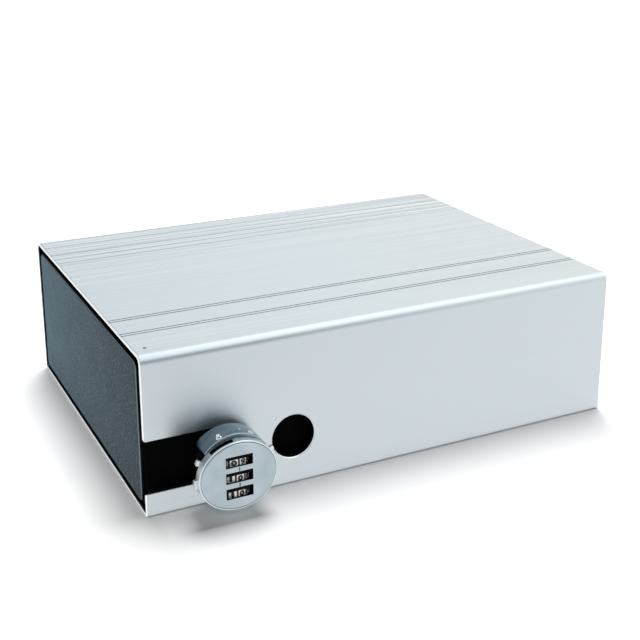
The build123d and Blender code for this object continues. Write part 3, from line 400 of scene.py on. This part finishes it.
panelFace = float(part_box("drawer_panel")[0][0])
capFace = float(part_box("end_cap")[1][0])
materials = {
    "aluminium": satinAnodisedAluminium(),
    "panelPaint": slatePowderCoat("slatePowderCoat", panelFace, 1.0),
    "capPaint": slatePowderCoat("slatePowderCoatCap", capFace, -1.0),
    "blackPaint": mattBlackPaint(),
    "chrome": plating("polishedChromePlate", ("#7F929C", "#A3B3BB"), (0.26, 0.32), 9 * mm),
    "ringChrome": filledChrome("knobRingChrome", ringFinish, ringDark),
    "faceChrome": filledChrome("knobFaceChrome", faceFinish, faceDark),
    "wheelEnamel": mouldedPolymer("silverEnamel", "#E9E9E4", "#F3F3EF", 0.4),
    "zinc": plating("zincPlatedSteel", ("#A9ADB2", "#C9CCCF"), (0.28, 0.42)),
    "springSteel": plating("springSteel", ("#8E9094", "#B5B6B8"), (0.2, 0.3)),
    "blackBlock": plating("blackOxideZinc", ("#0B0C0D", "#141517"), (0.5, 0.6)),
    "rubber": mouldedPolymer("nitrileRubber", "#151516", "#1E1E20", 0.75),
    "acetal": mouldedPolymer("whiteAcetal", "#E3E3DE", "#EEEEEA", 0.4),
    "foam": closedCellFoam(),
    "inlay": mouldedPolymer("blackInlayEnamel", "#070708", "#0C0D0E", 0.5),
    "markEnamel": mouldedPolymer("whiteMarkEnamel", "#E9EEF0", "#F4F7F8", 0.4),
}
print("materials:", len(materials))

# Finish of each node of the frame

finishes = {
    "aluminium": ["outer_sleeve"],
    "panelPaint": ["drawer_panel"],
    "capPaint": ["end_cap"],
    "blackPaint": ["drawer_tray", "lock_cover", "backing_rivets"],
    "chrome": ["lock_housing"],
    "ringChrome": ["knob_ring"],
    "faceChrome": ["knob_face"],
    "wheelEnamel": ["number_wheel_top", "number_wheel_middle", "number_wheel_bottom"],
    "zinc": ["end_cap_screws", "keeper", "keeper_rivets", "stop_pin", "panel_nuts", "stop_lug",
             "stop_lug_rivets", "backing_plate", "lock_washer", "lock_nut",
             "lock_cover_screws", "fence_bar", "cam", "cam_screw", "spindle_clip"],
    "springSteel": ["detent_springs", "wheel_axle", "spindle"],
    "blackBlock": ["wheel_carrier"],
    "rubber": ["drawer_bumpers"],
    "acetal": ["front_glide", "back_glide"],
    "foam": ["foam_liner"],
}

for finish, names in finishes.items():
    for name in names:
        mesh = nodes[name].data
        mesh.materials.clear()
        mesh.materials.append(materials[finish])
print("finishes given to", sum(len(names) for names in finishes.values()), "nodes")


def meshPiece(name, points, faces, finish, body):
    # numpy points and faces to a piece that rides on a body
    mesh = bpy.data.meshes.new(name)
    mesh.from_pydata(points.tolist(), [], faces)
    mesh.materials.append(materials[finish])
    piece = bpy.data.objects.new(name, mesh)
    bpy.context.scene.collection.objects.link(piece)
    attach(piece, body)
    return piece


def loopFaces(rings, count, start, closeRound):
    # quads between neighbouring rings of count points each; flat caps shut the ends unless the rings go round
    ring = np.arange(rings)[:, None]
    step = np.arange(count)[None, :]
    following = (ring + 1) % rings
    after = (step + 1) % count
    quads = np.stack([ring * count + step, following * count + step,
                      following * count + after, ring * count + after], -1)
    if not closeRound:
        quads = quads[:-1]
    faces = (quads.reshape(-1, 4) + start).tolist()
    if not closeRound:
        last = (rings - 1) * count + start
        faces.append([start + k for k in range(count)])
        faces.append([last + count - 1 - k for k in range(count)])
    return faces


# Number wheels' digits and the dark bars between them. The weights, the seam and the thickness are in the
# letters' own units, before they are scaled

digits = {
    "height": 2.75 * mm, "width": 2.75 * mm, "narrow": 1.3 * mm, "depth": 0.03 * mm, "lift": 0.15 * mm,
    "weight": 0.08, "curled": (3, 6, 8, 9), "curledWeight": 0.05, "seam": 1e-5, "halfThickness": 0.5,
    "curveSteps": 3, "wheelRadius": 7.2 * mm, "sides": 10, "front": -90,
    "barWidth": 0.86 * mm, "barTop": 0.12 * mm, "barFloor": 0.38 * mm, "barMargin": 0.02 * mm,
    "restTurn": {"top": -16.2, "middle": 7.2, "bottom": 12.6},
}


def digitSolid(number):
    # one digit as a thin flat solid about its own middle, from the built-in letter shapes. At the full stroke
    # weight the outline of a tightly curled digit would cross itself
    text = bpy.data.curves.new("digitText", "FONT")
    text.body = str(number)
    text.extrude = digits["halfThickness"]
    text.offset = digits["curledWeight"] if number in digits["curled"] else digits["weight"]
    text.resolution_u = digits["curveSteps"]
    holder = bpy.data.objects.new("digitText", text)
    bpy.context.scene.collection.objects.link(holder)
    mesh = bpy.data.meshes.new_from_object(holder.evaluated_get(bpy.context.evaluated_depsgraph_get()))
    work = bmesh.new()
    work.from_mesh(mesh)
    bmesh.ops.remove_doubles(work, verts=work.verts, dist=digits["seam"])
    work.to_mesh(mesh)
    work.free()
    points = np.zeros(len(mesh.vertices) * 3)
    mesh.vertices.foreach_get("co", points)
    points = points.reshape(-1, 3)
    faces = [tuple(polygon.vertices) for polygon in mesh.polygons]
    bpy.data.objects.remove(holder)
    bpy.data.curves.remove(text)
    bpy.data.meshes.remove(mesh)
    low = points.min(0)
    high = points.max(0)
    wide = digits["narrow"] if number == 1 else digits["width"]
    size = np.array([wide, digits["height"]])
    points[:, :2] = (points[:, :2] - (low[:2] + high[:2]) / 2) * size / (high[:2] - low[:2])
    points[:, 2] *= digits["depth"]
    return points, faces


def wheelFrame(degrees):
    # outward, sideways and upward directions at an angle round the wheel
    angle = math.radians(degrees)
    out = np.array([math.cos(angle), math.sin(angle), 0])
    side = np.array([-math.sin(angle), math.cos(angle), 0])
    return out, side, np.array([0, 0, 1.0])


def wheelDigits(level):
    # digits 0 to 9, each on its flat: digit n faces -90 - 36 n degrees, plus the rest turn; a bar fills each
    # groove half a step further on
    d = digits
    low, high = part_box("number_wheel_" + level)
    axis = joints[level + "_wheel_spin"]["pos_m"]
    centre = np.array([axis[0], axis[1], (low[2] + high[2]) / 2])
    flat = d["wheelRadius"] * math.cos(math.pi / d["sides"])
    step = 360 / d["sides"]
    corners = np.array([(-1, -1), (-1, 1), (1, 1), (1, -1)])
    across = corners[:, :1] * (d["barWidth"] / 2)
    along = corners[:, 1:] * ((high[2] - low[2]) / 2 - d["barMargin"])
    allPoints = []
    allFaces = []
    count = 0
    for number in range(d["sides"]):
        points, faces = digitSolid(number)
        turn = d["front"] - step * number + d["restTurn"][level]
        out, side, up = wheelFrame(turn)
        allPoints.append(centre + points[:, :1] * side + (points[:, 1:2] + d["lift"]) * up
                         + (flat + points[:, 2:]) * out)
        allFaces += [tuple(v + count for v in face) for face in faces]
        count += len(points)
        out, side, up = wheelFrame(turn + step / 2)
        for sink in (d["barFloor"], d["barTop"]):
            allPoints.append(centre + (d["wheelRadius"] - sink) * out + across * side + along * up)
        allFaces += loopFaces(2, len(corners), count, False)
        count += 2 * len(corners)
    return meshPiece("digits_" + level, np.vstack(allPoints), allFaces, "inlay", level + "_wheel")


for level in ("top", "middle", "bottom"):
    wheelDigits(level)
print("digits made")


# White enamel in the collar's engraved marks. Each mark has an angle round the collar in degrees, an outer
# radius, and a place along the collar from the knob joint's own

marks = {
    "axis": joints["knob_turn"]["pos_m"], "collarRadius": 17.8 * mm, "line": 0.6 * mm, "least": 0.04 * mm,
    "floor": 0.26 * mm, "sink": 0.02 * mm, "margin": 0.02 * mm, "steps": 28,
    "places": [(111.0, 1.3 * mm, -13.9 * mm), (110.0, 0.8 * mm, -11.9 * mm), (76.0, 0.5 * mm, -11.4 * mm),
               (60.0, 1.3 * mm, -13.0 * mm), (56.0, 0.8 * mm, -11.2 * mm)],
}


def markRing(angle, radius, y):
    # a four-sided profile carried round a circle that is wrapped on the collar: circle point (s, t) goes to
    # the collar's angle plus s / its radius, and to depth y + t
    m = marks
    turn = np.linspace(0, 2 * np.pi, m["steps"], endpoint=False)
    inner = max(radius - m["line"], m["least"]) + m["margin"]
    outer = radius - m["margin"]
    high = m["collarRadius"] - m["sink"]
    low = m["collarRadius"] - m["floor"]
    rings = []
    for reach, height in ((inner, low), (outer, low), (outer, high), (inner, high)):
        around = math.radians(angle) + reach * np.cos(turn) / m["collarRadius"]
        depth = y + reach * np.sin(turn)
        rings.append(np.stack([m["axis"][0] + height * np.cos(around), m["axis"][1] + depth,
                               m["axis"][2] + height * np.sin(around)], -1))
    return np.concatenate(rings)


def collarMarks():
    # the marks' rings as one piece
    m = marks
    points = [markRing(*place) for place in m["places"]]
    faces = []
    for k in range(len(points)):
        faces += loopFaces(4, m["steps"], k * 4 * m["steps"], True)
    return meshPiece("collar_marks", np.concatenate(points), faces, "markEnamel", "drawer")


collarMarks()
print("marks filled")


# Foam liner on the tray's floor

liner = {
    "cutaway": (64.0 * mm, 49.5 * mm), "edgeRadius": 1.4 * mm, "step": 5.0 * mm, "clear": 4.0 * mm,
    "wave": 0.12 * mm, "waveLength": (61 * mm, 47 * mm),
    "close": (0.0, 0.12, 0.35, 0.75, 1.4),  # millimetres from an edge
}


def linerLines(low, high, inner):
    # grid lines that crowd towards both ends and both sides of the inner line, rounded to a micron so that
    # none comes twice
    near = np.array(liner["close"]) * mm
    coarse = np.arange(low + liner["clear"], high - liner["clear"], liner["step"])
    coarse = coarse[np.abs(coarse - inner) > liner["clear"]]
    return np.unique(np.concatenate([low + near, high - near, inner - near, inner + near, coarse]).round(6))


def foamLiner():
    # height over a grid: the pad's thickness, less a round edge where the distance to the outline d is under
    # the radius r, by r - sqrt(r squared - (r - d) squared), less a slow double wave
    low, high = [np.array(corner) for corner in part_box("foam_liner")]
    cutX = float(sleeveLow[0]) + liner["cutaway"][0]
    cutY = float(sleeveLow[1]) + liner["cutaway"][1]
    xs = linerLines(low[0], high[0], cutX)
    ys = linerLines(low[1], high[1], cutY)
    gridX, gridY = np.meshgrid(xs, ys, indexing="ij")
    outside = np.minimum.reduce([gridX - low[0], high[0] - gridX, gridY - low[1], high[1] - gridY])
    toCut = np.maximum(gridX - cutX, gridY - cutY)
    r = liner["edgeRadius"]
    distance = np.clip(np.minimum(outside, toCut), 0, r)
    drop = r - np.sqrt(r ** 2 - (r - distance) ** 2)
    longWave, crossWave = liner["waveLength"]
    wave = np.cos(2 * np.pi * gridX / longWave) * np.cos(2 * np.pi * gridY / crossWave)
    top = high[2] - drop - liner["wave"] * (1 + wave) / 2 * (distance / r)
    upper = np.stack([gridX, gridY, top], -1).reshape(-1, 3)
    lower = np.stack([gridX, gridY, np.full_like(gridX, low[2])], -1).reshape(-1, 3)
    # quads of the grid outside the cutaway, then the same underneath, then walls on edges used only once
    rows, columns = gridX.shape
    index = np.arange(rows * columns).reshape(rows, columns)
    corners = np.stack([index[:-1, :-1], index[1:, :-1], index[1:, 1:], index[:-1, 1:]], -1)
    middleX = (xs[:-1] + xs[1:])[:, None] / 2
    middleY = (ys[:-1] + ys[1:])[None, :] / 2
    quads = corners[(middleX > cutX) | (middleY > cutY)]
    offset = rows * columns
    edges = np.concatenate([np.stack([quads[:, k], quads[:, (k + 1) % 4]], -1) for k in range(4)])
    keys = edges[:, 0] * offset + edges[:, 1]
    rim = edges[~np.isin(keys, edges[:, 1] * offset + edges[:, 0])]
    walls = np.stack([rim[:, 1], rim[:, 0], rim[:, 0] + offset, rim[:, 1] + offset], -1)
    faces = np.concatenate([quads, quads[:, ::-1] + offset, walls])
    used, packed = np.unique(faces, return_inverse=True)
    points = np.concatenate([upper, lower])[used]
    faces = packed.reshape(faces.shape).tolist()
    piece = meshPiece("foam_pad", points, faces, "foam", "drawer")
    piece.data.shade_smooth()
    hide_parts("foam_liner")
    return piece


foamLiner()
print("liner made")


# Floor

floorLook = {
    "half": 6.0, "drop": 0.2 * mm, "paper": "#E6E6E6", "glowSpan": (0.32, 0.75, 0.05, 1.0),
    "glossGlow": 1.08, "glossShare": 0.92, "contact": 2 * mm, "contactLeft": 0.5 * mm,
}


def makeFloor():
    # one flat square just under the object. Away from the object it glows white for the camera; gloss sees
    # it mostly as a pale card, which stops close to the object's sides
    half = floorLook["half"]
    corners = [(-half, -half), (half, -half), (half, half), (-half, half)]
    mesh = bpy.data.meshes.new("floor")
    mesh.from_pydata([(x, y, -floorLook["drop"]) for x, y in corners], [], [(0, 1, 2, 3)])
    floor = bpy.data.objects.new("floor", mesh)
    bpy.context.scene.collection.objects.link(floor)
    material = bpy.data.materials.new("studioPaper")
    material.use_nodes = True
    tree = material.node_tree
    tree.nodes.clear()
    path = addNode(tree, "LightPath").outputs
    place = addNode(tree, "TexCoord").outputs["Object"]
    away = addNode(tree, "VectorMath", length, [place]).outputs["Value"]
    strength = addNode(tree, "Math", multiply, [
        path["Is Camera Ray"], addNode(tree, "MapRange", None, [away, *floorLook["glowSpan"]])])
    seen = addNode(tree, "AddShader", None, [
        addNode(tree, "BsdfDiffuse", None, {"Color": floorLook["paper"]}),
        addNode(tree, "Emission", None, {"Strength": strength})])

    x, y = addNode(tree, "SeparateXYZ", None, [place]).outputs[:2]
    acrossDistance = addNode(tree, "Math", subtract, [
        addNode(tree, "Math", absolute, [y]), float(sleeveHigh[1])])
    rightDistance = addNode(tree, "Math", subtract, [x, float(sleeveHigh[0])])
    leftDistance = addNode(tree, "Math", subtract, [float(sleeveLow[0]), x])
    nearest = addNode(tree, "Math", larger, [acrossDistance, rightDistance])
    beside = addNode(tree, "Math", larger, [
        addNode(tree, "MapRange", None, [nearest, 0.0, floorLook["contact"]]),
        addNode(tree, "MapRange", None, [leftDistance, 0.0, floorLook["contactLeft"]])])
    gloss = addNode(tree, "Math", larger, [path["Is Glossy Ray"], path["Is Transmission Ray"]])
    onCard = addNode(tree, "Math", multiply, [gloss, beside])
    share = addNode(tree, "Math", multiply, [onCard, floorLook["glossShare"]])
    card = addNode(tree, "Emission", None, {"Strength": floorLook["glossGlow"]})
    addNode(tree, "OutputMaterial", None, {"Surface": addNode(tree, "MixShader", None, [share, seen, card])})
    mesh.materials.append(material)


# Light: a plain sky, which gloss sees as white cards, and soft boxes. The sky's spans are on the parts of a
# direction: X to the right, Y to the back and Z up

light = {
    "sky": "#F2F6F9", "skyStrength": 0.05,
    "glossLeft": "#F4F8FA", "glossRight": "#FFFDF9", "tintSpan": (0.1, 0.7),
    "glossFront": "#E1EDF4", "frontSpan": (-0.3, -0.7), "frontEnd": (0.65, 0.45),
    "strengthSpan": (0.2, 0.65, 0.98, 1.06),
    "overheadSpan": (0.55, 0.8, 0.0, 0.8), "overheadEnd": (0.08, 0.28),
    "dimSpan": (0.36, 0.52, 0.04, 1.0), "dimFront": (-0.6, -0.8), "dimLow": (0.62, 0.42),
    "lamps": {
        "overheadBox": {"place": (0.36, 0.8, 2.2), "aim": (0.36, 0.8, 0), "size": (1.15, 2.1), "watts": 108},
        "frontBox": {"place": (-0.5, -1.6, 0.9), "aim": (0, 0, 0.05), "size": (1.2, 1.2), "watts": 9},
    },
}


def makeLight():
    # the camera sees white and dull surfaces see a faint sky. Gloss sees cards: cool on the left to warm on
    # the right, bluish in front, brighter to the right and overhead, and dim where they are low in front on
    # the left
    world = bpy.data.worlds.new("studio")
    bpy.context.scene.world = world
    world.use_nodes = True
    tree = world.node_tree
    tree.nodes.clear()
    x, y, z = addNode(tree, "SeparateXYZ", None, [addNode(tree, "TexCoord").outputs["Generated"]]).outputs
    sides = addNode(tree, "Mix", colourMix, {
        "Factor": addNode(tree, "MapRange", None, [x, *light["tintSpan"]]),
        6: light["glossLeft"], 7: light["glossRight"]}).outputs[2]
    inFront = addNode(tree, "Math", multiply, [
        addNode(tree, "MapRange", None, [y, *light["frontSpan"]]),
        addNode(tree, "MapRange", None, [x, *light["frontEnd"]])])
    cards = addNode(tree, "Mix", colourMix, {"Factor": inFront, 6: sides, 7: light["glossFront"]}).outputs[2]
    overhead = addNode(tree, "Math", multiply, [
        addNode(tree, "MapRange", None, [z, *light["overheadSpan"]]),
        addNode(tree, "MapRange", None, [x, *light["overheadEnd"]])])
    bright = addNode(tree, "Math", plus, [
        addNode(tree, "MapRange", None, [x, *light["strengthSpan"]]), overhead])
    lowInFront = addNode(tree, "Math", multiply, [
        addNode(tree, "MapRange", None, [y, *light["dimFront"]]),
        addNode(tree, "MapRange", None, [z, *light["dimLow"]])])
    dim = addNode(tree, "Mix", numberMix, {
        "Factor": lowInFront, 2: 1.0, 3: addNode(tree, "MapRange", None, [x, *light["dimSpan"]])})
    cardLight = addNode(tree, "Background", None, {
        "Color": cards, "Strength": addNode(tree, "Math", multiply, [bright, dim])})
    lit = addNode(tree, "Background", None, {"Color": light["sky"], "Strength": light["skyStrength"]})
    white = addNode(tree, "Background", None, {"Color": "#FFFFFF", "Strength": 1.0})
    path = addNode(tree, "LightPath").outputs
    gloss = addNode(tree, "Math", larger, [path["Is Glossy Ray"], path["Is Transmission Ray"]])
    unseen = addNode(tree, "MixShader", None, [gloss, lit, cardLight])
    addNode(tree, "OutputWorld", None, {
        "Surface": addNode(tree, "MixShader", None, [path["Is Camera Ray"], unseen, white])})
    for name, values in light["lamps"].items():
        lamp = bpy.data.lights.new(name, "AREA")
        lamp.shape = "RECTANGLE"
        lamp.size, lamp.size_y = values["size"]
        lamp.energy = values["watts"]
        holder = bpy.data.objects.new(name, lamp)
        bpy.context.scene.collection.objects.link(holder)
        holder.location = values["place"]
        aim = Vector(values["aim"]) - Vector(values["place"])
        holder.rotation_euler = aim.to_track_quat("-Z", "Y").to_euler()
        holder.visible_glossy = False  # gloss sees the sky's cards instead


# Camera

camera = {
    "place": (-254.2 * mm, -527.5 * mm, 264.4 * mm), "turn": 26.511, "dip": 16.484, "focalPixels": 1139.1,
    "middlePixel": (325.0, 230.0), "imagePixels": 640, "sensor": 36.0, "clip": (0.01, 50.0),
}


def makeCamera():
    # level camera, turned right of +Y and dipped; the shift puts its optical middle where the framing needs
    data = bpy.data.cameras.new("camera")
    holder = bpy.data.objects.new("camera", data)
    bpy.context.scene.collection.objects.link(holder)
    pixels = camera["imagePixels"]
    data.sensor_width = camera["sensor"]
    data.lens = camera["focalPixels"] * camera["sensor"] / pixels
    data.shift_x = (pixels / 2 - camera["middlePixel"][0]) / pixels
    data.shift_y = (camera["middlePixel"][1] - pixels / 2) / pixels
    data.clip_start, data.clip_end = camera["clip"]
    holder.location = camera["place"]
    holder.rotation_euler = (math.radians(90 - camera["dip"]), 0, -math.radians(camera["turn"]))
    bpy.context.scene.camera = holder


makeFloor()
makeLight()
makeCamera()
bpy.context.scene.view_settings.view_transform = "Standard"
print("stage, light and camera made")
